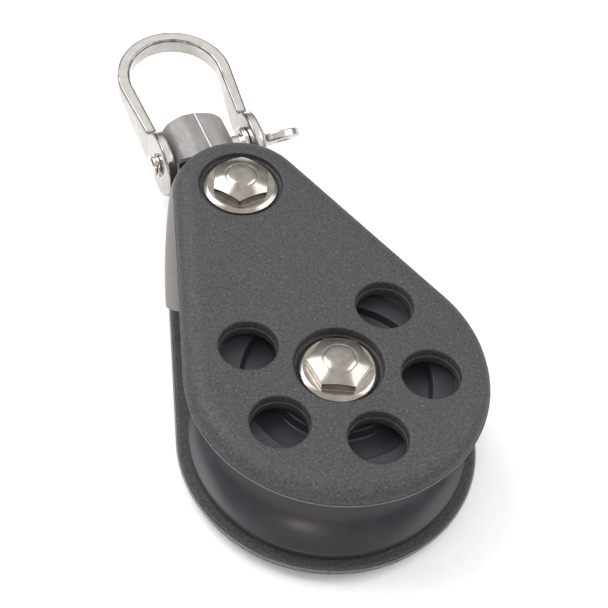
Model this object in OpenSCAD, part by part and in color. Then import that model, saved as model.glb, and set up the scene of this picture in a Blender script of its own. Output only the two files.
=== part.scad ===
// Single sheave block with a swivel head and a screw-pin bow shackle.
// Millimetres. The origin is the centre of the sheave: +Z points out of the
// front cheek, +Y towards the head, and the block lies on its back cheek.

/* [Cheeks] */
// Radius of the round tail of the front cheek, about the axle
cheek_r = 28.4; // [28:0.1:30]
// Radius of the round head end of a cheek, about the head bolt
cheek_head_r = 13.5; // [12.5:0.1:15]
// How far the back cheek stands out past the front one, all round
back_cheek_grow = 0.9; // [0:0.1:1.5]
// Thickness of one cheek
cheek_t = 3.9; // [3.5:0.1:5]
// Distance from the axle to the head bolt
head_y = 47.6; // [46:0.2:54]
// Clear gap between the two cheeks
cheek_gap = 20.2; // [20:0.1:21]
// Diameter of the five lightening holes
window_d = 11; // [8:0.5:12]
// Radius of the circle that the lightening holes lie on
window_pitch_r = 17; // [16:0.1:19]
// Angle from one lightening hole to the next
window_step = 62.5; // [55:0.5:66]
// Diameter of the recess round a bolt head or a nut
recess_d = 16.8; // [15:0.1:17]
// Depth of that recess
recess_depth = 2; // [1.8:0.1:2.4]
// Depth of the front recess round the head bolt, in mm
head_recess_depth = 1.2; // [0.8:0.1:2.4]

/* [Sheave] */
// Outer diameter of the sheave
sheave_d = 54; // [50:0.5:55]
// Width of the sheave over its rims
sheave_w = 19.6; // [18.8:0.1:19.8]
// Radius of the bottom of the line groove, about the axle
groove_floor_r = 21; // [19:0.5:23]
// Radius of the groove's round section
groove_r = 8.8; // [8:0.1:9]

/* [Bolts] */
// Thread diameter of both through bolts
bolt_d = 6; // [5:0.5:6]
// Diameter of the bolt's round flange
flange_d = 15; // [13.6:0.1:15]
// Size across the flats of the bolt's low hexagon
bolt_flats = 10.6; // [9:0.1:10.8]
// Diameter of the low round button on the bolt's crown
button_d = 6.2; // [5:0.1:7]

/* [Swivel head] */
// Rest angle of the head, leaning to the right on its bolt
head_lean = 1.3; // [-4:0.1:4]
// Diameter of the swivel head's round bar
post_head_d = 15.8; // [15:0.1:16.4]
// Distance over the two flats beside the shackle's ears
post_flats = 14.4; // [13:0.1:14.4]
// Diameter of the swivel head's shank
shank_d = 7; // [6:0.1:7.2]
// Distance from the head bolt to the shackle pin
pin_rise = 22.4; // [22:0.1:25]
// Distance from the head bolt to the end of the swivel head
post_top = 28.5; // [28:0.1:31]

/* [Shackle] */
// Diameter of the shackle pin
pin_d = 5; // [4:0.1:5]
// Outer radius of the bow's crown
bow_r = 12.7; // [12:0.1:14]
// Thickness of the bow's bar, in the plane of the bow
bow_t = 2.7; // [2.2:0.1:3]
// Depth of the bow's bar, across the plane of the bow
bow_depth = 4.2; // [3.6:0.1:5]
// Distance from the pin to the centre of the crown
crown_rise = 21.2; // [19:0.1:24]
// Slope of the bow's legs towards each other
leg_slope = 6; // [4:0.5:8]
// Radius of the round ears
ear_r = 6.9; // [6:0.1:7]
// Outside distance over the two ears
ear_span = 22.4; // [22.4:0.1:23.4]
// Rest angle of the shackle, swung towards the front
shackle_swing = 6; // [-20:1:20]
// How far the shackle stands off centre on its pin at rest
shackle_shift = 1.6; // [0:0.1:1.6]

/* [Hidden] */
$fn = 96;
eps = 0.01;

// Colours
moulded = [0.29, 0.285, 0.295];
acetal = [0.2, 0.195, 0.205];
bearing_black = [0.12, 0.115, 0.125];
polished = [0.84, 0.82, 0.79];
satin = [0.63, 0.61, 0.59];

// Heights of the stack, from the middle of the sheave
inner_z = cheek_gap / 2;
outer_z = inner_z + cheek_t;
seat_z = outer_z - recess_depth;

// Edge of a cheek: a long round towards the outside, a small one inside
outer_round_w = 5;
inner_round = 0.9;
cheek_fn = 64;

// Running and clearance fits, on the diameter
running = 0.1;
loose = 0.2;

// Axle
axle_sleeve_d = 12;
bush_d = 16;
hub_d = 24;
hub_w = 18.6;
web_recess = 1.6;
web_outer_d = 42;
thrust_washer_t = 0.6;
thrust_washer_d = 22;

// Bolt head, measured up from the seat in its recess
flange_t = 0.6;
flange_bevel = 0.5;
flange_top_d = 13.2;
hex_side_h = 1.3;
button_z = 3.9;
button_rise = 0.3;
shank_end_gap = 0.7;
nut_t = 1.6;
nut_socket = 8;
nut_socket_depth = 0.6;

// Trunnion and what is stacked on it, measured from the head bolt
head_sleeve_d = 9;
trunnion_half_w = 7.5;
trunnion_half_z = 9.6;
nut_window = [5.5, 8.8];
trunnion_top = 10.5;
saddle_t = 1.2;
saddle_web_half_z = 4.5;
saddle_half_z = 8.4;
leg_centre = [-171.3, -70.9];
leg_r = 200;
leg_barrel_r = 17;
leg_end = -14.3;
leg_end_slant = 45.6;
leg_top = 12.9;
saddle_top = trunnion_top + 0.05 + saddle_t;
plate_size = [16.6, 2.4, 18.8];
plate_foot = [12, 1.25, 16];
plate_bottom = saddle_top + 0.05;
post_base = plate_bottom + plate_size[1] + 0.1;
swivel_nut_flats = 10;
swivel_nut_t = 2.6;
swivel_washer_t = 0.35;
post_bevel = 0.5;
post_front = 7.1;

// Ears and pin
ear_t = 2.2;
ear_inner = ear_span / 2 - ear_t;
pin_end = 1.6;
collar_d = 7.4;
collar_t = 1.3;
tab_r = 4.7;
tab_t = 2;
tab_hole_d = 3;
tab_roll = -60;
pin_washer_x = 7.7;
pin_washer_t = 1.2;
pin_washer_d = 8;

// Local frame of the head: origin on the head bolt, +Y along the swivel
module at_head() {
    translate([0, head_y, 0]) rotate([0, 0, -head_lean]) children();
}

// Local frame of the shackle: origin on the pin, +X along the pin
module at_pin() {
    at_head() translate([shackle_shift, pin_rise, 0])
        rotate([shackle_swing, 0, 0]) children();
}

// A rod along Y between two heights
module rod_y(d, from, to) {
    translate([0, from, 0]) rotate([-90, 0, 0]) cylinder(d = d, h = to - from);
}

// A rod along X between two stations
module rod_x(d, from, to) {
    translate([from, 0, 0]) rotate([0, 90, 0]) cylinder(d = d, h = to - from);
}

module ring(outer_d, inner_d, h) {
    difference() {
        cylinder(d = outer_d, h = h);
        translate([0, 0, -1]) cylinder(d = inner_d, h = h + 2);
    }
}

// Half section of a round cheek end, from the inner face at height 0
module cheek_section(r) {
    outer_h = cheek_t - inner_round;
    polygon(concat(
        [[0, 0], [r - inner_round, 0]],
        [for (a = [30:30:90]) [r - inner_round + inner_round * sin(a),
                               inner_round - inner_round * cos(a)]],
        [for (a = [15:15:90]) [r - outer_round_w + outer_round_w * cos(a),
                               inner_round + outer_h * sin(a)]],
        [[0, cheek_t]]));
}

module cheek(grow, head_depth) {
    difference() {
        hull() {
            rotate_extrude($fn = cheek_fn) cheek_section(cheek_r + grow);
            translate([0, head_y, 0])
                rotate_extrude($fn = cheek_fn) cheek_section(cheek_head_r + grow);
        }
        for (i = [-2:2])
            rotate([0, 0, i * window_step]) translate([0, -window_pitch_r, -1])
                cylinder(d = window_d, h = cheek_t + 2);
        for (at = [[0, recess_depth], [head_y, head_depth]]) translate([0, at[0], 0]) {
            translate([0, 0, -1]) cylinder(d = bolt_d + loose, h = cheek_t + 2);
            translate([0, 0, cheek_t - at[1]]) cylinder(d = recess_d, h = at[1] + 1);
        }
    }
}

module front_cheek() { color(moulded) translate([0, 0, inner_z]) cheek(0, head_recess_depth); }

module back_cheek() {
    color(moulded) mirror([0, 0, 1]) translate([0, 0, inner_z]) cheek(back_cheek_grow, recess_depth);
}

// Low flanged hexagon head with a round button, standing on height 0
module bolt_head() {
    corner_r = bolt_flats / sqrt(3);
    cylinder(d = flange_d, h = flange_t);
    translate([0, 0, flange_t - eps])
        cylinder(d1 = flange_d, d2 = flange_top_d, h = flange_bevel);
    intersection() {
        translate([0, 0, flange_t]) cylinder(r = corner_r, h = button_z - flange_t, $fn = 6);
        union() {
            translate([0, 0, flange_t]) cylinder(r = corner_r + 1, h = hex_side_h);
            translate([0, 0, flange_t + hex_side_h - eps])
                cylinder(r1 = corner_r + 0.2, r2 = button_d / 2 + 0.3,
                         h = button_z - flange_t - hex_side_h + eps);
        }
    }
    translate([0, 0, button_z - eps])
        cylinder(d1 = button_d, d2 = button_d * 0.7, h = button_rise);
}

module through_bolt(turn, depth) {
    translate([0, 0, outer_z - depth]) rotate([0, 0, turn]) bolt_head();
    translate([0, 0, -outer_z + shank_end_gap])
        cylinder(d = bolt_d, h = 2 * outer_z - depth - shank_end_gap + 0.5);
}

// Flush round nut in the back recess, with a hexagon socket
module flush_nut() {
    translate([0, 0, -seat_z - nut_t]) difference() {
        cylinder(d = flange_d, h = nut_t);
        translate([0, 0, -1]) cylinder(d = bolt_d + running, h = nut_t + 2);
        translate([0, 0, -1])
            cylinder(d = nut_socket / cos(30), h = nut_socket_depth + 1, $fn = 6);
    }
}

module spacer_sleeve(d) {
    translate([0, 0, -inner_z]) ring(d, bolt_d + loose, cheek_gap);
}

module axle_bolt() { color(polished) through_bolt(34.5, recess_depth); }
module axle_nut() { color(satin) flush_nut(); }
module axle_sleeve() { color(satin) spacer_sleeve(axle_sleeve_d); }

module thrust_washer() {
    translate([0, 0, (hub_w + cheek_gap) / 4 - thrust_washer_t / 2])
        ring(thrust_washer_d, axle_sleeve_d + loose, thrust_washer_t);
}

module front_thrust_washer() { color(bearing_black) thrust_washer(); }

module back_thrust_washer() {
    color(bearing_black) mirror([0, 0, 1]) thrust_washer();
}

module head_bolt() { color(polished) translate([0, head_y, 0]) through_bolt(5, head_recess_depth); }
module head_nut() { color(satin) translate([0, head_y, 0]) flush_nut(); }

module head_sleeve() {
    color(satin) translate([0, head_y, 0]) spacer_sleeve(head_sleeve_d);
}

module sheave() {
    color(acetal) difference() {
        union() {
            translate([0, 0, -hub_w / 2]) cylinder(d = sheave_d - 8, h = hub_w);
            translate([0, 0, -sheave_w / 2]) ring(sheave_d, sheave_d - 9, sheave_w);
        }
        rotate_extrude() translate([groove_floor_r + groove_r, 0]) circle(r = groove_r);
        for (side = [-1, 1])
            translate([0, 0, side * hub_w / 2 - web_recess])
                ring(web_outer_d - 6, hub_d, 2 * web_recess);
        cylinder(d = bush_d, h = sheave_w * 2, center = true);
    }
}

module sheave_bush() {
    color(bearing_black) translate([0, 0, -hub_w / 2])
        ring(bush_d, axle_sleeve_d + running, hub_w);
}

// Cross barrel that turns on the head sleeve and holds the swivel's nut
module trunnion() {
    color(satin) at_head() difference() {
        union() {
            translate([0, 0, -trunnion_half_z])
                cylinder(r = trunnion_half_w, h = 2 * trunnion_half_z);
            translate([-trunnion_half_w, 0, -trunnion_half_z])
                cube([2 * trunnion_half_w, trunnion_top, 2 * trunnion_half_z]);
        }
        cylinder(d = head_sleeve_d + running, h = 4 * trunnion_half_z, center = true);
        translate([-6, nut_window[0], -trunnion_half_z - 1])
            cube([12, nut_window[1] - nut_window[0], 2 * trunnion_half_z + 2]);
        rod_y(shank_d + running, nut_window[1] - 1, trunnion_top + 1);
    }
}

// One leg of the saddle, bowed in height and in depth, with its end cut on a slant
module saddle_leg() {
    intersection() {
        translate([leg_centre[0], leg_centre[1], 0]) rotate([0, 0, 10])
            rotate_extrude(angle = 24, $fn = 480) intersection() {
                translate([leg_r - leg_barrel_r, 0]) difference() {
                    circle(r = leg_barrel_r);
                    circle(r = leg_barrel_r - saddle_t);
                }
                translate([leg_r - 8, -saddle_half_z]) square([10, 2 * saddle_half_z]);
            }
        translate([0, leg_end, 0]) rotate([leg_end_slant, 0, 0])
            translate([0, 0, -50]) cube([40, 80, 100]);
        translate([0, leg_top - 80, -50]) cube([40, 80, 100]);
    }
}

// Folded strap: a web on the trunnion and two bowed legs that guard the line
module head_saddle() {
    web_half_w = 10.1;
    color(satin) at_head() difference() {
        union() {
            saddle_leg();
            mirror([1, 0, 0]) saddle_leg();
            translate([-web_half_w, saddle_top - saddle_t, -saddle_web_half_z])
                cube([2 * web_half_w, saddle_t, 2 * saddle_web_half_z]);
        }
        rod_y(shank_d + 2 * loose, saddle_top - 4, saddle_top + 4);
    }
}

module bearing_plate() {
    color(bearing_black) at_head() difference() {
        union() {
            translate([-plate_size[0] / 2, plate_bottom + plate_foot[1], -plate_size[2] / 2])
                cube([plate_size[0], plate_size[1] - plate_foot[1], plate_size[2]]);
            translate([-plate_foot[0] / 2, plate_bottom, -plate_foot[2] / 2])
                cube([plate_foot[0], plate_foot[1] + eps, plate_foot[2]]);
        }
        rod_y(shank_d + running, plate_bottom - 1, plate_bottom + plate_size[1] + 1);
    }
}

module swivel_head() {
    color(satin) at_head() difference() {
        union() {
            intersection() {
                union() {
                    rod_y(post_head_d, post_base, post_top - post_bevel);
                    translate([0, post_top - post_bevel - eps, 0]) rotate([-90, 0, 0])
                        cylinder(d1 = post_head_d, d2 = post_head_d - 2 * post_bevel,
                                 h = post_bevel);
                }
                translate([-post_flats / 2, 0, -post_front])
                    cube([post_flats, 2 * post_top, 2 * post_front]);
            }
            rod_y(shank_d, nut_window[0] + 0.15, post_base + 1);
        }
        translate([0, pin_rise, 0]) rod_x(pin_d + running, -20, 20);
        lock_pin_rod(0.05);
    }
}

// Cross pin through the swivel's nut and shank, along the head bolt's direction
module lock_pin_rod(grow) {
    nut_middle = nut_window[0] + 0.2 + swivel_nut_t / 2;
    translate([0, nut_middle, 0])
        cylinder(d = 1.4 + grow, h = swivel_nut_flats + grow, center = true);
}

module swivel_washer() {
    bottom = nut_window[0] + 0.2 + swivel_nut_t + 0.05;
    color(polished) at_head() translate([0, bottom, 0]) rotate([-90, 0, 0])
        ring(11, shank_d + loose, swivel_washer_t);
}

module swivel_nut() {
    color(polished) at_head() difference() {
        translate([0, nut_window[0] + 0.2, 0]) rotate([-90, 0, 0])
            cylinder(d = swivel_nut_flats / cos(30), h = swivel_nut_t, $fn = 6);
        rod_y(shank_d + running, 0, 12);
        lock_pin_rod(0.05);
    }
}

module swivel_lock_pin() { color(polished) at_head() lock_pin_rod(0); }

// One leg of the bow, widened towards the back above its ear, without the pin's hole
module bow_leg() {
    shoulder = [ear_inner, 8, -5.7];
    hull() {
        translate([0, crown_rise, 0]) rotate([0, 0, -leg_slope])
            translate([bow_r - bow_t, -0.4, -bow_depth / 2])
                cube([bow_t, 0.4 + eps, bow_depth]);
        translate(shoulder) cube([ear_t, 0.5, 8.4]);
    }
    hull() {
        translate(shoulder) cube([ear_t, 0.5, 8.4]);
        translate([ear_inner, 0, 0]) rotate([0, 90, 0])
            cylinder(r = ear_r - 0.02, h = ear_t, $fn = 32);
    }
    translate([ear_inner, 0, 0]) rotate([0, 90, 0]) cylinder(r = ear_r, h = ear_t);
}

module shackle_bow() {
    color(polished) at_pin() difference() {
        union() {
            translate([0, crown_rise, 0]) rotate([0, 0, -leg_slope])
                rotate_extrude(angle = 180 + 2 * leg_slope)
                    translate([bow_r - bow_t, -bow_depth / 2])
                        square([bow_t, bow_depth]);
            bow_leg();
            mirror([1, 0, 0]) bow_leg();
        }
        rod_x(pin_d + running, -20, 20);
    }
}

module pin_washer() {
    color(polished) at_pin() translate([pin_washer_x, 0, 0]) rotate([0, 90, 0])
        ring(pin_washer_d, pin_d + loose, pin_washer_t);
}

module shackle_pin() {
    collar_x = ear_span / 2 + 0.1;
    tab_x = collar_x + collar_t + tab_r - 0.8;
    color(polished) at_pin() rotate([tab_roll, 0, 0]) difference() {
        union() {
            rod_x(pin_d, -ear_span / 2 - pin_end, collar_x + eps);
            rod_x(collar_d, collar_x, collar_x + collar_t);
            translate([tab_x, 0, -tab_t / 2]) cylinder(r = tab_r, h = tab_t);
        }
        translate([tab_x + 0.6, 0, -tab_t]) cylinder(d = tab_hole_d, h = 2 * tab_t);
    }
}

front_cheek();
back_cheek();
axle_bolt();
axle_nut();
axle_sleeve();
front_thrust_washer();
back_thrust_washer();
head_bolt();
head_nut();
head_sleeve();
sheave();
sheave_bush();
trunnion();
head_saddle();
bearing_plate();
swivel_head();
swivel_washer();
swivel_nut();
swivel_lock_pin();
shackle_bow();
pin_washer();
shackle_pin();
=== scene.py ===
"""Looks for the single sheave block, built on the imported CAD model. Local sizes are in millimetres."""

import math

import bmesh
import bpy
from mathutils import Matrix, Vector, geometry


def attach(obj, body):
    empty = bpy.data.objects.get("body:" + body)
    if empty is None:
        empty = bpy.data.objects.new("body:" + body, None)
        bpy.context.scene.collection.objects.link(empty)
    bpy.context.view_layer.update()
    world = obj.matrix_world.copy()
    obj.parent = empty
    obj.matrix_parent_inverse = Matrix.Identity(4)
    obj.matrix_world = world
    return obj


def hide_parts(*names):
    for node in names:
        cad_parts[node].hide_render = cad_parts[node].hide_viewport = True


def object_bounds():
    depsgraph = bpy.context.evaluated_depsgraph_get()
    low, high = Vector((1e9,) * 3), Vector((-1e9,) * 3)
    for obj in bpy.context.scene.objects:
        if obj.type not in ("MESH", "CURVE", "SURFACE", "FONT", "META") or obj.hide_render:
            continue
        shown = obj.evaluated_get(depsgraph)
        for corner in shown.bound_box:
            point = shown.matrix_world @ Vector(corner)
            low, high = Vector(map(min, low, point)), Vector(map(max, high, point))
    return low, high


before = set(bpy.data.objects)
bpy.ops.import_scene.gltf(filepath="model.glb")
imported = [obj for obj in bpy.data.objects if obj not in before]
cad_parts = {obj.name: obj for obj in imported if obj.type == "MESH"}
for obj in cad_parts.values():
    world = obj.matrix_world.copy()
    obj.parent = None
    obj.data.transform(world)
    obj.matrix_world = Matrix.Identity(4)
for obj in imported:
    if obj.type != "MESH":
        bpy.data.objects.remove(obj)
cad_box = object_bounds()

MM = 0.001

# Sizes in millimetres, most of them shared with the CAD model
TAIL_R, HEAD_R, HEAD_Y, BACK_GROW = 28.4, 13.5, 47.6, 0.9
CHEEK_T, INNER_Z = 3.9, 10.1
OUTER_Z = INNER_Z + CHEEK_T
WINDOW_R, WINDOW_PITCH, WINDOW_STEP = 5.5, 17.0, 62.5
RECESS_R, RECESS, HEAD_RECESS = 8.4, 2.0, 1.2
SHEAVE_R, SHEAVE_HALF, HUB_HALF, HUB_BORE, GROOVE_FLOOR, GROOVE_R = 27.0, 9.8, 9.3, 8.0, 21.0, 8.8
FLANGE_R, HEX_R, BUTTON_R, BOLT_R = 7.5, 6.1, 3.2, 3.0
LEG_X, LEG_Y, LEG_R, LEG_BARREL, LEG_T, LEG_HALF_Z = -171.3, -70.9, 200.0, 17.0, 1.2, 8.4
LEG_END, LEG_END_SLOPE, LEG_TOP = -14.25, 1.02, 12.85
WEB_HALF_X, WEB_HALF_Z = 10.0, 4.5
PLATE_HALF_X, PLATE_HALF_Z = 8.3, 9.4
POST_BASE, POST_TOP, POST_BEVEL = 14.3, 28.5, 0.6
SHANK_R, SHANK_END = 3.5, 5.65
PIN_RISE, PIN_SHIFT, PIN_R = 22.4, 1.6, 2.48
PIN_HOLE_R, SHANK_HOLE_R = 2.55, 3.55
CROWN_RISE, BOW_R, BOW_T, BOW_D, LEG_SLOPE = 21.2, 12.7, 2.7, 4.2, 6.0
EAR_R, EAR_HALF_SPAN, EAR_T, LEG_FRONT, LEG_BACK = 6.9, 11.2, 2.2, 2.7, 5.5
RING_X, RING_R, RING_T = 7.7, 4.0, 1.2
TAB_R, TAB_HALF_T, TAB_HOLE_SHIFT = 4.7, 0.95, 0.6

# Frames of the tilted head and of the swung shackle
LEAN, SWING, ROLL = math.radians(-1.3), math.radians(6), math.radians(-60)
HEAD = Matrix.Translation((0, HEAD_Y, 0)) @ Matrix.Rotation(LEAN, 4, "Z")
SHACKLE = HEAD @ Matrix.Translation((PIN_SHIFT, PIN_RISE, 0)) @ Matrix.Rotation(SWING, 4, "X")
TAB_ROLL = Matrix.Rotation(ROLL, 4, "X")
ALONG_X = Matrix.Rotation(math.radians(90), 4, "Y")


# ---------------------------------------------------------------- materials
class Nodes:
    """Short names for building a node material."""

    def __init__(self, name):
        self.mat = bpy.data.materials.new(name)
        self.mat.use_nodes = True
        self.tree = self.mat.node_tree
        self.tree.nodes.clear()
        self.out = self.add("ShaderNodeOutputMaterial")
        self.bsdf = self.add("ShaderNodeBsdfPrincipled")
        self.link(self.bsdf.outputs[0], self.out.inputs[0])
        self.coords = self.add("ShaderNodeTexCoord").outputs["Object"]

    def add(self, kind, **values):
        node = self.tree.nodes.new(kind)
        for key, value in values.items():
            setattr(node, key, value)
        return node

    def link(self, a, b):
        self.tree.links.new(a, b)

    def stretched(self, scale):
        mapping = self.add("ShaderNodeMapping")
        mapping.inputs["Scale"].default_value = scale
        self.link(self.coords, mapping.inputs["Vector"])
        return mapping.outputs[0]

    def noise(self, scale, detail=3.0, rough=0.55, vector=None):
        node = self.add("ShaderNodeTexNoise")
        node.inputs["Scale"].default_value = scale
        node.inputs["Detail"].default_value = detail
        node.inputs["Roughness"].default_value = rough
        self.link(vector or self.coords, node.inputs["Vector"])
        return node.outputs["Fac"]

    def ramp(self, source, low, high, to_low=0.0, to_high=1.0):
        node = self.add("ShaderNodeMapRange")
        node.inputs["From Min"].default_value = low
        node.inputs["From Max"].default_value = high
        node.inputs["To Min"].default_value = to_low
        node.inputs["To Max"].default_value = to_high
        self.link(source, node.inputs["Value"])
        return node.outputs[0]

    def mix(self, factor, a, b):
        node = self.add("ShaderNodeMix", data_type="RGBA")
        self.link(factor, node.inputs["Factor"])
        for socket, value in ((node.inputs["A"], a), (node.inputs["B"], b)):
            if isinstance(value, (tuple, list)):
                socket.default_value = (*value, 1.0)
            else:
                self.link(value, socket)
        return node.outputs["Result"]

    def bump(self, *layers):
        normal = None
        for height, strength, distance in layers:
            node = self.add("ShaderNodeBump")
            node.inputs["Strength"].default_value = strength
            node.inputs["Distance"].default_value = distance
            self.link(height, node.inputs["Height"])
            if normal:
                self.link(normal, node.inputs["Normal"])
            normal = node.outputs[0]
        self.link(normal, self.bsdf.inputs["Normal"])

    def tint(self, source, dark, light, low=0.3, high=0.7):
        self.set("Base Color", self.mix(self.ramp(source, low, high), dark, light))

    def gloss(self, source, smooth, rough):
        self.set("Roughness", self.ramp(source, 0.3, 0.7, smooth, rough))

    def set(self, socket, value):
        target = self.bsdf.inputs[socket]
        if isinstance(value, (int, float)):
            target.default_value = value
        elif isinstance(value, (tuple, list)):
            target.default_value = (*value, 1.0)
        else:
            self.link(value, target)


def moulded_plastic():
    n = Nodes("moulded_plastic")
    grain = n.noise(2300, 2.0, 0.65)
    coarse = n.noise(900, 2.0, 0.5)
    cloud = n.noise(45, 3.0, 0.5)
    base = n.mix(n.ramp(cloud, 0.35, 0.65), (0.036, 0.0335, 0.0375), (0.044, 0.0413, 0.0455))
    sandy = n.mix(n.ramp(grain, 0.3, 0.7), (0.012, 0.0115, 0.013), (0.072, 0.07, 0.071))
    mixed = n.mix(n.ramp(coarse, 0.2, 0.8, 0.6, 0.85), base, sandy)
    n.set("Base Color", n.mix(n.ramp(grain, 0.68, 0.78), mixed, (0.17, 0.165, 0.17)))
    n.gloss(coarse, 0.5, 0.66)
    n.set("Specular IOR Level", 0.4)
    n.bump((coarse, 0.3, 0.00012), (grain, 0.7, 0.0001))
    return n.mat


# Painted highlight: a light grey for the bright line along the cheek's edge bead, standing in for the light
# that edge catches.
def edge_highlight_plastic():
    n = Nodes("painted_edge_highlight")
    grain = n.noise(1800, 2.0, 0.6)
    n.tint(grain, (0.085, 0.082, 0.086), (0.17, 0.165, 0.17))
    n.gloss(grain, 0.35, 0.5)
    n.bump((grain, 0.2, 0.00005))
    return n.mat


def sheave_plastic():
    n = Nodes("sheave_plastic")
    turned = n.noise(60, 2.0, 0.5, n.stretched((1.0, 1.0, 26.0)))
    cloud = n.noise(120, 3.0, 0.6)
    n.tint(cloud, (0.0235, 0.0213, 0.0265), (0.0355, 0.0325, 0.0395))
    n.gloss(cloud, 0.28, 0.38)
    n.set("Specular IOR Level", 0.35)
    n.bump((turned, 0.12, 0.00008), (cloud, 0.05, 0.0001))
    return n.mat


def bearing_plastic():
    n = Nodes("bearing_plastic")
    cloud = n.noise(300, 3.0, 0.6)
    n.tint(cloud, (0.014, 0.0135, 0.016), (0.024, 0.023, 0.027))
    n.gloss(cloud, 0.42, 0.56)
    n.bump((cloud, 0.15, 0.00006))
    return n.mat


def polished_steel():
    n = Nodes("polished_steel")
    dimple = n.noise(420, 2.0, 0.5)
    fine = n.noise(2400, 3.0, 0.6)
    n.tint(dimple, (0.60, 0.565, 0.53), (0.70, 0.66, 0.625))
    n.set("Metallic", 1.0)
    n.gloss(fine, 0.1, 0.2)
    n.bump((dimple, 0.12, 0.00018), (fine, 0.06, 0.00004))
    return n.mat


def forged_and_shaded_side():
    """The broad sides of the bow: blotchy forging, with painted shade that makes them less bright than its
    band.
    """
    n = Nodes("forged_and_shaded_side")
    blotch = n.noise(260, 3.0, 0.6)
    fine = n.noise(1800, 3.0, 0.6)
    n.tint(blotch, (0.43, 0.405, 0.385), (0.55, 0.52, 0.495), 0.35, 0.65)
    n.set("Metallic", 1.0)
    n.gloss(fine, 0.16, 0.28)
    n.bump((blotch, 0.15, 0.0002), (fine, 0.08, 0.00005))
    return n.mat


def turned_steel():
    """Darker and warmer than the polished forging; used on the two bolts."""
    n = Nodes("turned_steel")
    wander = n.noise(500, 2.0, 0.5)
    fine = n.noise(1500, 3.0, 0.6)
    n.tint(wander, (0.27, 0.247, 0.22), (0.38, 0.35, 0.316))
    n.set("Metallic", 1.0)
    n.gloss(fine, 0.14, 0.24)
    n.bump((wander, 0.1, 0.00015), (fine, 0.08, 0.00004))
    return n.mat


def satin_steel():
    n = Nodes("satin_steel")
    brushed = n.noise(700, 3.0, 0.6, n.stretched((1.0, 0.12, 1.0)))
    fine = n.noise(2600, 2.0, 0.6)
    n.tint(brushed, (0.37, 0.352, 0.343), (0.47, 0.45, 0.438))
    n.set("Metallic", 1.0)
    n.gloss(brushed, 0.42, 0.54)
    n.bump((brushed, 0.2, 0.0001), (fine, 0.12, 0.00005))
    return n.mat


def brushed_steel():
    n = Nodes("brushed_steel")
    brushed = n.noise(900, 3.0, 0.6, n.stretched((1.0, 0.35, 1.0)))
    pits = n.noise(2600, 2.0, 0.6)
    n.tint(brushed, (0.205, 0.195, 0.189), (0.285, 0.272, 0.265))
    n.set("Metallic", 0.55)
    n.gloss(pits, 0.52, 0.64)
    n.bump((brushed, 0.3, 0.0001), (pits, 0.25, 0.00006))
    return n.mat


# Painted highlight: a near-white strip for the bright line where the swivel post's two faces meet.
def painted_highlight_line():
    n = Nodes("painted_highlight_line")
    wear = n.noise(900, 2.0, 0.5)
    n.tint(wear, (0.75, 0.73, 0.7), (0.92, 0.9, 0.88))
    n.set("Metallic", 0.3)
    n.gloss(wear, 0.3, 0.4)
    n.bump((wear, 0.1, 0.00004))
    return n.mat


def shaded_edge():
    """Painted dark reflection: darker steel on the rounded corners of the polished forging."""
    n = Nodes("shaded_edge")
    patch = n.noise(500, 3.0, 0.6)
    n.tint(patch, (0.16, 0.15, 0.143), (0.34, 0.32, 0.305), 0.35, 0.65)
    n.set("Metallic", 1.0)
    n.gloss(patch, 0.22, 0.34)
    n.bump((patch, 0.12, 0.0001))
    return n.mat


def strap_steel():
    """Rolled strap: fine lengthwise lines."""
    n = Nodes("strap_steel")
    lines = n.noise(1600, 3.0, 0.6, n.stretched((1.0, 0.03, 1.0)))
    fine = n.noise(2600, 2.0, 0.6)
    n.tint(lines, (0.11, 0.102, 0.097), (0.22, 0.205, 0.194))
    n.set("Metallic", 1.0)
    n.gloss(lines, 0.36, 0.5)
    n.bump((lines, 0.25, 0.00006), (fine, 0.1, 0.00004))
    return n.mat


def floor_paper():
    n = Nodes("floor_paper")
    tooth = n.noise(900, 2.0, 0.5)
    n.tint(tooth, (0.9, 0.9, 0.9), (0.93, 0.93, 0.93))
    n.set("Roughness", 0.9)
    return n.mat


PLASTIC, EDGE_HIGHLIGHT, ACETAL = moulded_plastic(), edge_highlight_plastic(), sheave_plastic()
BEARING, POLISHED, TURNED, SATIN = bearing_plastic(), polished_steel(), turned_steel(), satin_steel()
BRUSHED, HIGHLIGHT_LINE, STRAP, SHADED, SIDE_SHADE = brushed_steel(), painted_highlight_line(), strap_steel(), shaded_edge(), forged_and_shaded_side()


# ---------------------------------------------------------------- mesh tools
def piece(name, verts, faces, mats, body, nodes=(), frame_of=None, smooth=30, tags=None):
    """A mesh from millimetre points, placed in the row frame. tags gives each face's material index."""
    place = frame_of or Matrix.Identity(4)
    me = bpy.data.meshes.new(name)
    me.from_pydata([(place @ Vector(v)) * MM for v in verts], [], faces)
    for m in mats if isinstance(mats, (list, tuple)) else [mats]:
        me.materials.append(m)
    if tags:
        me.polygons.foreach_set("material_index", tags)
    me.polygons.foreach_set("use_smooth", [True] * len(me.polygons))
    me.update()
    me.set_sharp_from_angle(angle=math.radians(smooth))
    ob = bpy.data.objects.new(name, me)
    bpy.context.scene.collection.objects.link(ob)
    if nodes:
        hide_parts(*nodes)
    if body:
        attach(ob, body)
    return ob


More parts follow.
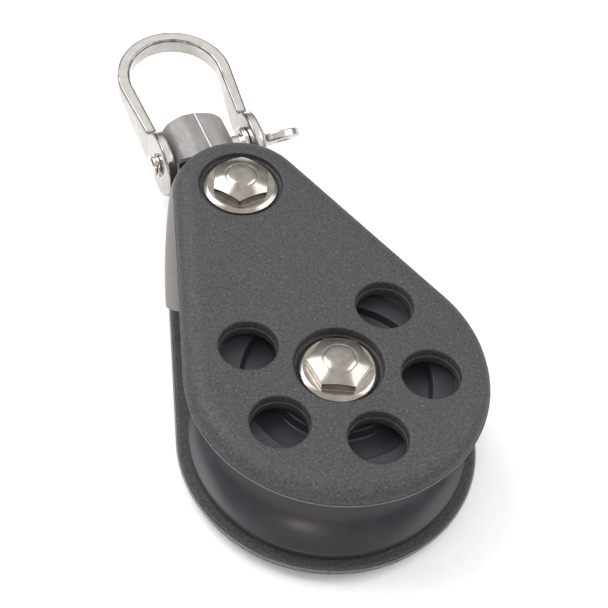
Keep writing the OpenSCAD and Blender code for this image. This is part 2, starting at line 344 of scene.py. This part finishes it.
def rounded(corners, closed=True, step=12):
    """A polygon whose corners (x, y, radius) are filleted; open ones keep their two ends."""
    out = []
    last = len(corners) - 1
    for i, (x, y, r) in enumerate(corners):
        p = Vector((x, y))
        if r <= 0 or (not closed and i in (0, last)):
            out.append((x, y))
            continue
        a = Vector(corners[i - 1][:2]) - p
        b = Vector(corners[(i + 1) % (last + 1)][:2]) - p
        half = a.angle(b) / 2
        reach = min(r / math.tan(half), 0.49 * a.length, 0.49 * b.length)
        r = reach * math.tan(half)
        centre = p + (a.normalized() + b.normalized()).normalized() * (r / math.sin(half))
        start, end = p + a.normalized() * reach - centre, p + b.normalized() * reach - centre
        a0, a1 = math.atan2(start.y, start.x), math.atan2(end.y, end.x)
        turn = (a1 - a0 + math.pi) % (2 * math.pi) - math.pi
        steps = max(2, math.ceil(abs(math.degrees(turn)) / step))
        for k in range(steps + 1):
            t = a0 + turn * k / steps
            out.append((centre.x + r * math.cos(t), centre.y + r * math.sin(t)))
    return out


def loft(loops, wrap=False, cap=(False, False)):
    """Quads between loops of equal length; wrap joins the last loop to the first, cap closes an end."""
    n = len(loops[0])
    verts = [v for loop in loops for v in loop]
    faces = []
    count = len(loops) if wrap else len(loops) - 1
    for i in range(count):
        a, b = i * n, ((i + 1) % len(loops)) * n
        for k in range(n):
            k2 = (k + 1) % n
            faces.append((a + k, a + k2, b + k2, b + k))
    if cap[0]:
        faces.append(tuple(range(n - 1, -1, -1)))
    if cap[1]:
        faces.append(tuple(range((len(loops) - 1) * n, len(loops) * n)))
    return verts, faces


def lathe(profile, segs=96, wrap=True):
    """Turns (radius, height) points round Z. An open profile may start and end on the axis."""
    loops, verts, faces = [], [], []
    for r, z in profile:
        if r < 1e-6:
            loops.append([len(verts)])
            verts.append((0, 0, z))
        else:
            loops.append(list(range(len(verts), len(verts) + segs)))
            verts += [(r * math.cos(2 * math.pi * k / segs), r * math.sin(2 * math.pi * k / segs), z)
                      for k in range(segs)]
    pairs = list(zip(loops, loops[1:])) + ([(loops[-1], loops[0])] if wrap else [])
    for a, b in pairs:
        for k in range(segs):
            k2 = (k + 1) % segs
            ring = [a[k % len(a)], a[k2 % len(a)], b[k2 % len(b)], b[k % len(b)]]
            face = tuple(dict.fromkeys(ring))
            if len(face) > 2:
                faces.append(face)
    return verts, faces


def joined(verts, faces, more_verts, more_faces):
    """Two meshes as one."""
    return verts + more_verts, faces + [tuple(i + len(verts) for i in face) for face in more_faces]


def circle(cx, cy, r, n, z):
    return [(cx + r * math.cos(2 * math.pi * k / n), cy + r * math.sin(2 * math.pi * k / n), z)
            for k in range(n)]


def outward(ob, weld=False):
    """Makes a closed mesh's faces point outwards.

    weld joins doubled points first, and marks the sharp edges anew at the end.
    """
    bm = bmesh.new()
    bm.from_mesh(ob.data)
    if weld:
        bmesh.ops.remove_doubles(bm, verts=bm.verts, dist=1e-6)
    bmesh.ops.recalc_face_normals(bm, faces=bm.faces)
    bm.to_mesh(ob.data)
    bm.free()
    if weld:
        ob.data.set_sharp_from_angle(angle=math.radians(30))
    return ob


def drill(ob, centre, axis, radius, depth, frame_of=None):
    """Cuts a round hole through a piece, in place, and keeps its smooth shading."""
    place = frame_of or Matrix.Identity(4)
    turn = Vector((0, 0, 1)).rotation_difference(Vector(axis)).to_matrix().to_4x4()
    verts, faces = lathe([(0, -depth), (radius, -depth), (radius, depth), (0, depth)], 64, wrap=False)
    me = bpy.data.meshes.new("drill")
    where = place @ Matrix.Translation(centre) @ turn
    me.from_pydata([(where @ Vector(v)) * MM for v in verts], [], faces)
    cutter = outward(bpy.data.objects.new("drill", me))
    bpy.context.scene.collection.objects.link(cutter)
    mod = ob.modifiers.new("drill", "BOOLEAN")
    mod.operation, mod.solver, mod.object = "DIFFERENCE", "EXACT", cutter
    bpy.context.view_layer.update()
    done = bpy.data.meshes.new_from_object(ob.evaluated_get(bpy.context.evaluated_depsgraph_get()))
    ob.modifiers.clear()
    old = ob.data
    ob.data = done
    done.name = ob.name
    bpy.data.meshes.remove(old)
    bpy.data.objects.remove(cutter)
    bpy.data.meshes.remove(me)
    ob.data.set_sharp_from_angle(angle=math.radians(30))
    return ob


# ---------------------------------------------------------------- cheeks
TAIL_STEPS, SIDE_STEPS, HEAD_STEPS = 150, 30, 72


def teardrop(inset, z):
    """The cheek's outline, inset from its edge. Every inset has the same count of points."""
    slope = math.asin((TAIL_R - HEAD_R) / HEAD_Y)
    tail = [math.pi - slope + (math.pi + 2 * slope) * k / TAIL_STEPS for k in range(TAIL_STEPS + 1)]
    head = [slope + (math.pi - 2 * slope) * k / HEAD_STEPS for k in range(HEAD_STEPS + 1)]
    tail = [((TAIL_R - inset) * math.cos(a), (TAIL_R - inset) * math.sin(a), z) for a in tail]
    head = [((HEAD_R - inset) * math.cos(a), HEAD_Y + (HEAD_R - inset) * math.sin(a), z) for a in head]
    sides = [[tuple(Vector(a).lerp(Vector(b), k / SIDE_STEPS)) for k in range(1, SIDE_STEPS)]
             for a, b in ((tail[-1], head[0]), (head[-1], tail[0]))]
    return tail + sides[0] + head + sides[1]


def cheek_mesh(grow, head_depth):
    """A cheek with its inner face at height 0. Returns points, faces and material tags."""
    windows = []
    for i in range(-2, 3):
        a = math.radians(-90 + i * WINDOW_STEP)
        windows.append((WINDOW_PITCH * math.cos(a), WINDOW_PITCH * math.sin(a)))
    top, low, crown_w = CHEEK_T, 1.0, 4.4
    rim = [(crown_w + 0.1, top)]
    for k in range(17):
        a = math.radians(90 * k / 16)
        rim.append((0.2 + (crown_w - 0.2) * (1 - math.sin(a)), low + (top - low) * math.cos(a)))
    bead = [(0.04, low - 0.12), (0.0, low - 0.3), (0.06, low - 0.46), (0.3, low - 0.55)]
    rim_loops = [teardrop(i - grow, h) for i, h in rim]
    bead_loops = [teardrop(i - grow, h) for i, h in bead]
    under_loops = [teardrop(i - grow, h)
                   for i, h in ((0.42, 0.3), (0.5, 0.12), (0.68, 0.02), (0.9, 0.0), (1.6, 0.0))]
    verts, faces, tags = [], [], []

    def strip(loops, tag):
        base = len(verts)
        v, f = loft(loops)
        verts.extend(v)
        faces.extend(tuple(base + i for i in face) for face in f)
        tags.extend([tag] * len(f))

    strip(rim_loops + bead_loops[:1], 0)
    # The bead takes the painted edge highlight.
    strip(bead_loops, 1)
    strip(bead_loops[-1:] + under_loops, 0)
    top_rings, low_rings = [], []
    for x, y in windows:
        walls = [(0.8, top), (0.42, top), (0.24, top - 0.06), (0.08, top - 0.2), (0, top - 0.42), (0, 2.0),
                 (-0.16, 1.85), (-0.16, 0.3), (-0.08, 0.1), (0.14, 0.0), (0.7, 0.0)]
        rings = [circle(x, y, WINDOW_R + out, 72, h) for out, h in walls]
        strip(rings, 0)
        top_rings.append(rings[0])
        low_rings.append(rings[-1])
    for y, depth in ((0, RECESS), (HEAD_Y, head_depth)):
        floor = top - depth
        walls = [(RECESS_R + 0.45, top), (RECESS_R + 0.3, top), (RECESS_R + 0.16, top - 0.05),
                 (RECESS_R + 0.05, top - 0.14), (RECESS_R, top - 0.3), (RECESS_R, floor + 0.25),
                 (RECESS_R - 0.1, floor + 0.07), (RECESS_R - 0.3, floor), (BOLT_R + 0.1, floor),
                 (BOLT_R + 0.1, 0.0), (BOLT_R + 0.8, 0.0)]
        rings = [circle(0, y, r, 96, h) for r, h in walls]
        strip(rings, 0)
        top_rings.append(rings[0])
        low_rings.append(rings[-1])
    for outer, rings in ((rim_loops[0], top_rings), (under_loops[-1], low_rings)):
        polys = [[Vector(p) for p in loop] for loop in [outer] + rings]
        base = len(verts)
        for loop in polys:
            verts.extend(tuple(p) for p in loop)
        tris = geometry.tessellate_polygon(polys)
        faces.extend(tuple(base + i for i in tri) for tri in tris)
        tags.extend([0] * len(tris))
    return verts, faces, tags


for name, side, grow, depth in (("front_cheek", 1, 0.0, HEAD_RECESS),
                                ("back_cheek", -1, BACK_GROW, RECESS)):
    v, f, t = cheek_mesh(grow, depth)
    placed = [(x, y, side * (INNER_Z + h)) for x, y, h in v]
    outward(piece("moulded_" + name, placed, f, [PLASTIC, EDGE_HIGHLIGHT], "block", [name], tags=t),
            weld=True)

# ---------------------------------------------------------------- sheave
lip = math.degrees(math.acos((GROOVE_FLOOR + GROOVE_R - SHEAVE_R) / GROOVE_R))
groove = []
for k in range(49):
    a = math.radians(180 - lip + 2 * lip * k / 48)
    groove.append((GROOVE_FLOOR + GROOVE_R + GROOVE_R * math.cos(a), -GROOVE_R * math.sin(a)))
top = groove[-1][1]
web_half = HUB_HALF - 1.6
side = [groove[-3] + (0,), (SHEAVE_R, top, 0.3), (SHEAVE_R, SHEAVE_HALF, 0.35), (22.5, SHEAVE_HALF, 0.3),
        (22.3, HUB_HALF, 0.2), (18.0, HUB_HALF, 0.3), (17.4, web_half, 0.6), (12.6, web_half, 0.6),
        (12.0, HUB_HALF, 0.3), (HUB_BORE, HUB_HALF, 0)]
side = rounded(side, closed=False)
profile = groove[3:-3] + side + [(HUB_BORE, 0)] + [(r, -z) for r, z in side[::-1]]
v, f = lathe(profile, 160)
outward(piece("grooved_sheave", v, f, ACETAL, "sheave", ["sheave"]), weld=True)


# ---------------------------------------------------------------- bolts
def bolt_head(turn):
    """Flanged hexagon head with a conical crown and a low round button, standing on height 0."""
    flange = rounded([(0, 0, 0), (FLANGE_R, 0, 0.12), (FLANGE_R, 0.55, 0.15), (6.7, 1.05, 0.3),
                      (5.0, 1.08, 0)], closed=False)
    corners = [math.radians(60 * i + turn) for i in range(6)]
    hexagon = rounded([(HEX_R * math.cos(a), HEX_R * math.sin(a), 0.3) for a in corners], step=15)
    outline = []
    for i, p in enumerate(hexagon):
        q = hexagon[(i + 1) % len(hexagon)]
        steps = 16 if (Vector(q) - Vector(p)).length > 1.5 else 1
        outline += [tuple(Vector(p).lerp(Vector(q), k / steps)) for k in range(steps)]

    def crown(r):
        out = max(r - BUTTON_R, 0)
        return 3.75 - 0.36 * out - 0.03 * out ** 2

    loops = [[(x * s, y * s, z) for x, y in outline] for s, z in ((1.03, 0.98), (1.004, 1.12))]
    for back in (0.18, 0.07):
        loops.append([(x, y, crown(math.hypot(x, y)) - back) for x, y in outline])
    for shrink in (0.995, 0.982, 0.96):
        loops.append([(x * shrink, y * shrink, crown(math.hypot(x, y) * shrink)) for x, y in outline])
    for t in (0.85, 0.7, 0.5, 0.3, 0.12, 0.03):
        ring = []
        for x, y in outline:
            r = math.hypot(x, y)
            to = BUTTON_R + (r * 0.96 - BUTTON_R) * t
            ring.append((x / r * to, y / r * to, crown(to)))
        loops.append(ring)
    dish = [(3.14, 3.73), (3.06, 3.65), (2.96, 3.69), (2.84, 3.8), (2.5, 3.89), (2.0, 3.98), (1.4, 4.06),
            (0.7, 4.1), (0.15, 4.11)]
    for r, z in dish:
        loops.append([(x / math.hypot(x, y) * r, y / math.hypot(x, y) * r, z) for x, y in outline])
    return joined(*lathe(flange, 128, wrap=False), *loft(loops, cap=(False, True)))


for name, y, turn, depth in (("axle_bolt", 0, 34.5, RECESS), ("head_bolt", HEAD_Y, 5, HEAD_RECESS)):
    seat, tip = OUTER_Z - depth, -OUTER_Z + 0.7
    head_v, head_f = bolt_head(turn)
    shank = rounded([(0, tip, 0), (BOLT_R - 0.4, tip, 0.1), (BOLT_R, tip + 0.4, 0.1),
                     (BOLT_R, seat + 0.3, 0)], closed=False)
    v, f = joined([(px, py, pz + seat) for px, py, pz in head_v], head_f, *lathe(shank, 48, wrap=False))
    v = [(px, py + y, pz) for px, py, pz in v]
    piece("polished_" + name, v, f, TURNED, "block", [name])


# ---------------------------------------------------------------- swivel head
LINE_X = 0.3
FRONT = rounded([(-7.2, 0, 0), (-7.2, 2.9, 2.5), (-5.7, 5.5, 3.0), (-2.6, 7.08, 2.5), (LINE_X, 7.08, 0),
                 (0.56, 7.02, 0), (4.5, 5.9, 4.0), (6.6, 4.0, 2.5), (7.2, 2.2, 2.0), (7.2, 0, 0)],
                closed=False, step=6)
OUTLINE = FRONT + [(x, -z) for x, z in FRONT[::-1][1:-1]]
LINE_AT = next(i for i, (x, z) in enumerate(FRONT) if abs(x - LINE_X) < 1e-6)
FOOT = POST_BASE + 0.3  # from here up the post has its full width
levels = [(0.9, POST_BASE), (0.965, POST_BASE + 0.03), (0.99, POST_BASE + 0.12), (1.0, FOOT)]
levels += [(1.0, FOOT + (POST_TOP - POST_BEVEL - FOOT) * k / 8) for k in range(1, 9)]
levels += [(1.0 - 0.085 * (1 - math.cos(math.radians(a))),
            POST_TOP - POST_BEVEL + POST_BEVEL * math.sin(math.radians(a))) for a in (15, 30, 45, 60, 75, 90)]
levels += [(0.7, POST_TOP), (0.35, POST_TOP), (0.02, POST_TOP)]
v, f = loft([[(x * s, y, z * s) for x, z in OUTLINE] for s, y in levels], cap=(True, True))
# Faces at the ridge (tag 2) take the painted highlight line.
tags = []
for face in f:
    k = face[0] % len(OUTLINE)
    tags.append(2 if k == LINE_AT else (0 if k < LINE_AT else 1))
post = outward(piece("swivel_post", v, f, [BRUSHED, SATIN, HIGHLIGHT_LINE], "swivel", ["swivel_head"],
                     HEAD, smooth=24, tags=tags))
drill(post, (0, PIN_RISE, 0), (1, 0, 0), PIN_HOLE_R, 12, HEAD)
v, f = lathe([(0, SHANK_END), (SHANK_R - 0.2, SHANK_END), (SHANK_R, SHANK_END + 0.2), (SHANK_R, FOOT),
              (0, FOOT)], 48, wrap=False)
v = [(x, z, -y) for x, y, z in v]
piece("swivel_shank", v, f, SATIN, "swivel", frame_of=HEAD)


# ---------------------------------------------------------------- saddle and bearing plate
def saddle_leg(side):
    """One leg of the saddle, bowed in height and in depth, with rounded edges and a slanted end."""
    angle = math.asin(LEG_HALF_Z / LEG_BARREL)
    outer = [(LEG_BARREL, angle * (1 - k / 8)) for k in range(17)]
    section = [(r * math.cos(a), r * math.sin(a)) for r, a in outer]
    inner_r = LEG_BARREL - LEG_T
    section += [(inner_r * math.cos(a), inner_r * math.sin(a)) for r, a in outer[::-1]]
    section = rounded([(r + LEG_R - LEG_BARREL, z, 0.3 if k in (0, 16, 17, 33) else 0)
                       for k, (r, z) in enumerate(section)], step=30)
    loops = []
    for k in range(33):
        t = k / 32
        ring = []
        for r, z in section:
            low = math.asin((LEG_END - LEG_END_SLOPE * z - LEG_Y) / r)
            a = low + (math.asin((LEG_TOP - LEG_Y) / r) - low) * t
            ring.append((side * (LEG_X + r * math.cos(a)), LEG_Y + r * math.sin(a), z))
        loops.append(ring)
    return loft(loops, cap=(True, True))


def box_outline(half_x, half_z, radius, step):
    return rounded([(-half_x, half_z, radius), (-half_x, -half_z, radius), (half_x, -half_z, radius),
                    (half_x, half_z, radius)], step=step)


web = box_outline(WEB_HALF_X, WEB_HALF_Z, 0.4, 30)
web_levels = ((0.99, 10.55), (1.0, 10.65), (1.0, 11.65), (0.99, 11.75))
v, f = joined(*saddle_leg(1), *saddle_leg(-1))
v, f = joined(v, f, *loft([[(x * s, y, z * s) for x, z in web] for s, y in web_levels], cap=(True, True)))
outward(piece("folded_saddle", v, f, STRAP, "head", ["head_saddle"], HEAD))

# A foot between the legs, then a wider flange: scale in X, scale in Z, height
plate = box_outline(PLATE_HALF_X, PLATE_HALF_Z, 0.8, 15)
levels = ((0.7, 0.83, 11.8), (0.723, 0.85, 11.9), (0.723, 0.85, 13.04), (0.73, 0.856, 13.07),
          (0.96, 0.97, 13.08), (0.99, 0.99, 13.12), (1.0, 1.0, 13.25), (1.0, 1.0, 14.0), (0.99, 0.99, 14.14),
          (0.965, 0.97, 14.2))
v, f = loft([[(x * s, y, z * t) for x, z in plate] for s, t, y in levels], cap=(True, True))
plate = outward(piece("bearing_plate_body", v, f, BEARING, "head", ["bearing_plate"],
                      HEAD))
drill(plate, (0, 13, 0), (0, 1, 0), SHANK_HOLE_R, 6, HEAD)


# ---------------------------------------------------------------- shackle
def bow_path():
    """Stations along the bow, from ear to ear: (x, y, heading, half thickness, front depth, back depth)."""
    slope = math.radians(LEG_SLOPE)
    mid = BOW_R - BOW_T / 2
    joint_x, joint_y = mid * math.cos(slope), CROWN_RISE - mid * math.sin(slope)
    ear_x, half = EAR_HALF_SPAN - EAR_T / 2, BOW_D / 2
    stations = []
    for k in range(22):
        a = math.radians(-87 + 5.8 * k)
        edge = min(1.0, 0.6 + 0.8 * (1 + math.sin(a)))
        depth = EAR_R * math.cos(a)
        stations.append((ear_x, EAR_R * math.sin(a), 0.0, EAR_T / 2 * edge, depth, depth))
    start = stations[-1]
    rise = joint_y - start[1]
    for k in range(1, 25):
        t = k / 24
        blend = min(1.0, t / 0.2)
        blend = blend * blend * (3 - 2 * blend)
        front = start[4] + (LEG_FRONT - start[4]) * blend + (half - LEG_FRONT) * t
        wide = LEG_BACK - (LEG_BACK - half) * max(0.0, (t - 0.15) / 0.85) ** 1.6
        back = start[5] + (wide - start[5]) * blend
        stations.append((ear_x + (joint_x - ear_x) * t, start[1] + rise * t, -slope * t,
                         EAR_T / 2 + (BOW_T / 2 - EAR_T / 2) * t, front, back))
    for k in range(1, 25):
        a = -slope + (math.pi / 2 + slope) * k / 24
        stations.append((mid * math.cos(a), CROWN_RISE + mid * math.sin(a), a, BOW_T / 2, half, half))
    other = [(-x, y, math.pi - h, t, d, b) for x, y, h, t, d, b in stations[:-1]][::-1]
    return stations + other


def bow_mesh():
    loops = []
    for x, y, heading, ht, front, back in bow_path():
        r, s = min(0.5, ht * 0.5, front * 0.6), min(0.85, ht * 0.62, back * 0.6)
        section = rounded([(ht, front, r), (-ht, front, r), (-ht, -back, s), (ht, -back, s)], step=22)
        loops.append([(x + n * math.cos(heading), y + n * math.sin(heading), z) for n, z in section])
    return loft(loops, cap=(True, True))


v, f = bow_mesh()
# Each loop has four rounded corners, with a flat between them: front, broad side, back, broad side. The
# corners carry a painted dark reflection and the broad sides painted shade.
CORNER = len(v) // len(bow_path()) // 4
FLATS = {CORNER - 1: 0, 2 * CORNER - 1: 2, 3 * CORNER - 1: 0, 4 * CORNER - 1: 2}
tags = [FLATS.get(face[0] % (4 * CORNER), 1) if len(face) == 4 else 0 for face in f]
bow = outward(piece("forged_bow", v, f, [POLISHED, SHADED, SIDE_SHADE], "shackle",
                    ["shackle_bow"], SHACKLE, smooth=40, tags=tags))
drill(bow, (0, 0, 0), (1, 0, 0), PIN_HOLE_R, 20, SHACKLE)

v, f = lathe(rounded([(2.6, 0, 0.15), (RING_R, 0, 0.3), (RING_R, RING_T, 0.3), (2.6, RING_T, 0.15)]), 64)
piece("pin_ring", v, f, POLISHED, "shackle", ["pin_washer"],
      SHACKLE @ Matrix.Translation((RING_X, 0, 0)) @ ALONG_X)

# Pin: threaded end on the left, plain shank, knurled collar and a flat tab
END = -EAR_HALF_SPAN - 1.6
pin_profile = [(0, END), (2.1, END), (2.3, END + 0.15)]
for k in range(4):
    z = END + 0.3 + k * 0.8
    pin_profile += [(PIN_R, z), (PIN_R, z + 0.12), (2.15, z + 0.4), (2.15, z + 0.5)]
pin_profile += [(PIN_R, END + 3.6), (PIN_R, EAR_HALF_SPAN + 0.1), (0, EAR_HALF_SPAN + 0.1)]
collar = []
for r, z in ((2.4, 0.1), (3.35, 0.1), (3.66, 0.3), (3.66, 1.1), (3.4, 1.4), (0.4, 1.4)):
    ring = []
    for k in range(96):
        tooth = 0.16 if k % 4 in (0, 1) and r > 3.3 else 0.0
        a = 2 * math.pi * k / 96
        ring.append(((r - tooth) * math.cos(a), (r - tooth) * math.sin(a), z + EAR_HALF_SPAN))
    collar.append(ring)
v, f = joined(*lathe(pin_profile, 64, wrap=False), *loft(collar, cap=(True, True)))
v = [(z, y, -x) for x, y, z in v]
TAB_X = EAR_HALF_SPAN + 1.4 + TAB_R - 0.8
tab_edge = ((3.19, 0.8), (3.0, TAB_HALF_T), (0.5, TAB_HALF_T), (0.15, 0.85), (0.0, 0.6))
tab_loops = []
for inset, z in [(i, -z) for i, z in tab_edge] + list(tab_edge[::-1]):
    shift = TAB_HOLE_SHIFT if inset > 1 else 0
    tab_loops.append(circle(TAB_X + shift, 0, TAB_R - inset, 64, z))
tab_v, tab_f = loft(tab_loops, wrap=True)
# The tab takes the darker side steel as painted shade.
tags = [0] * len(f) + [1] * len(tab_f)
v, f = joined(v, f, tab_v, tab_f)
piece("screw_pin", v, f, [POLISHED, SIDE_SHADE], "pin", ["shackle_pin"], SHACKLE @ TAB_ROLL,
      tags=tags)

# ---------------------------------------------------------------- CAD nodes that stay as they are
KEPT = {
    "axle_nut": SATIN, "head_nut": SATIN, "axle_sleeve": SATIN, "head_sleeve": SATIN, "trunnion": SATIN,
    "swivel_nut": SATIN, "swivel_washer": SATIN, "swivel_lock_pin": POLISHED,
    "sheave_bush": BEARING, "front_thrust_washer": BEARING, "back_thrust_washer": BEARING,
}
for node, material in KEPT.items():
    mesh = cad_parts[node].data
    mesh.materials.clear()
    mesh.materials.append(material)

# ---------------------------------------------------------------- floor, light and camera
FLOOR_GAP, FLOOR_HALF = 0.00005, 6.0
floor_z = cad_box[0].z - FLOOR_GAP
me = bpy.data.meshes.new("floor")
me.from_pydata([(x * FLOOR_HALF, y * FLOOR_HALF, floor_z) for x, y in ((-1, -1), (1, -1), (1, 1), (-1, 1))],
               [], [(0, 1, 2, 3)])
me.materials.append(floor_paper())
floor = bpy.data.objects.new("floor", me)
bpy.context.scene.collection.objects.link(floor)

world = bpy.data.worlds.new("studio")
bpy.context.scene.world = world
world.use_nodes = True
tree = world.node_tree
backdrop = tree.nodes["Background"]
direction = tree.nodes.new("ShaderNodeTexCoord")
split = tree.nodes.new("ShaderNodeSeparateXYZ")
height = tree.nodes.new("ShaderNodeMapRange")
height.inputs["From Min"].default_value, height.inputs["From Max"].default_value = 0.05, 0.75
height.inputs["To Min"].default_value, height.inputs["To Max"].default_value = 0.16, 1.0
tree.links.new(direction.outputs["Generated"], split.inputs[0])
tree.links.new(split.outputs["Z"], height.inputs["Value"])
tree.links.new(height.outputs[0], backdrop.inputs[0])
backdrop.inputs[1].default_value = 1.05


def area(name, where, target, width, height, power, colour=(1, 1, 1)):
    data = bpy.data.lights.new(name, "AREA")
    data.shape = "RECTANGLE"
    data.size, data.size_y, data.energy, data.color = width, height, power, colour
    ob = bpy.data.objects.new(name, data)
    bpy.context.scene.collection.objects.link(ob)
    ob.location = where
    ob.rotation_euler = (Vector(target) - Vector(where)).to_track_quat("-Z", "Y").to_euler()
    return ob


middle = (0, 0.03, 0)
area("key", (-0.35, 0.45, 0.7), middle, 0.6, 0.6, 6.0)
area("fill", (0.5, -0.1, 0.5), middle, 0.5, 0.5, 2.0)
area("front", (-0.45, -0.55, 0.3), middle, 0.25, 0.25, 1.3, (1.0, 0.93, 0.8))

# The photo's camera, solved from the rims of the holes and the bolts
camera = bpy.data.cameras.new("camera")
camera.sensor_width = 36
camera.lens = 91.93
camera.clip_start = 0.01
view = bpy.data.objects.new("camera", camera)
bpy.context.scene.collection.objects.link(view)
right_dir = Vector((0.9132, -0.3993, 0.0815))
up_dir = Vector((0.2655, 0.7347, 0.6243))
back_dir = Vector((-0.3092, -0.5485, 0.7769))
eye = Vector((-90.56, -144.8, 240.4)) * MM
rot = Matrix((right_dir, up_dir, back_dir)).transposed()
view.matrix_world = Matrix.Translation(eye) @ rot.to_4x4()
bpy.context.scene.camera = view
bpy.context.scene.view_settings.view_transform = "Standard"
